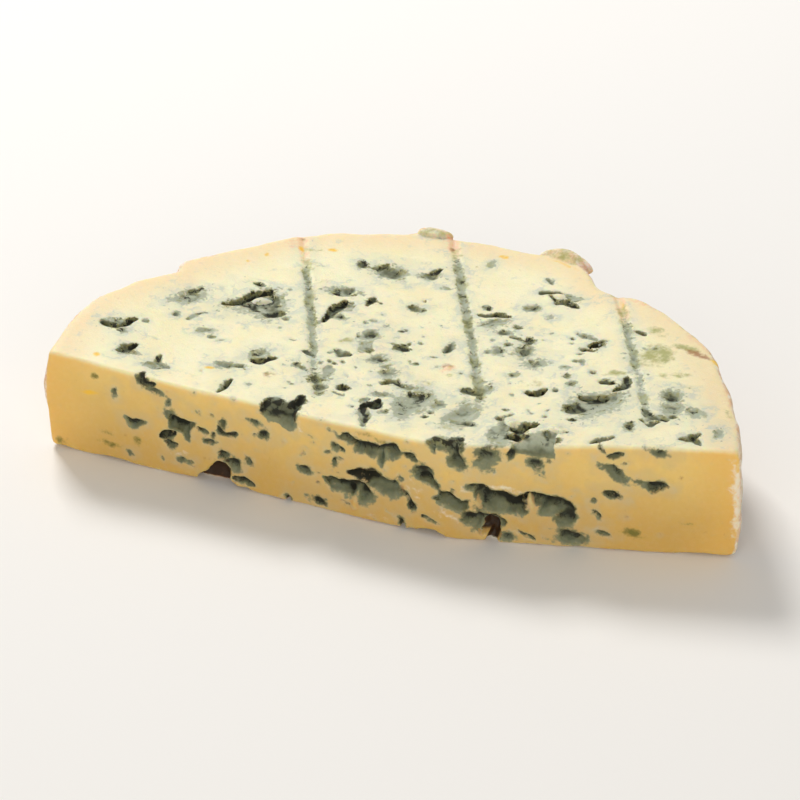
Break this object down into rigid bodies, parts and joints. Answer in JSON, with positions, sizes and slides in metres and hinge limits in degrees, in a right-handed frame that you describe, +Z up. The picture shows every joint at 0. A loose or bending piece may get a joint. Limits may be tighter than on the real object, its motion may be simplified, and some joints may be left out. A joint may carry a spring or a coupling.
{
  "type": "blue cheese half wheel",
  "caption": "Half wheel of pale blue cheese lying on its flat side, with mould pockets, needle channels and a soft rind round its curved edge.",
  "frame": {"origin": "on the flat base, under the middle of the bounding box", "axes": "+X along the cut side, the piece's longest extent; +Y from the cut side to the rounded rind; +Z up, the piece's thickness"},
  "size_m": [0.204, 0.108, 0.036],
  "materials": {
    "cheese_paste": "moist ivory-yellow paste with grey-green mould pockets and a thin peach-cream rind"
  },
  "bodies": {
    "root": {"blue_cheese": "cheese_paste"}
  },
  "joints": []
}
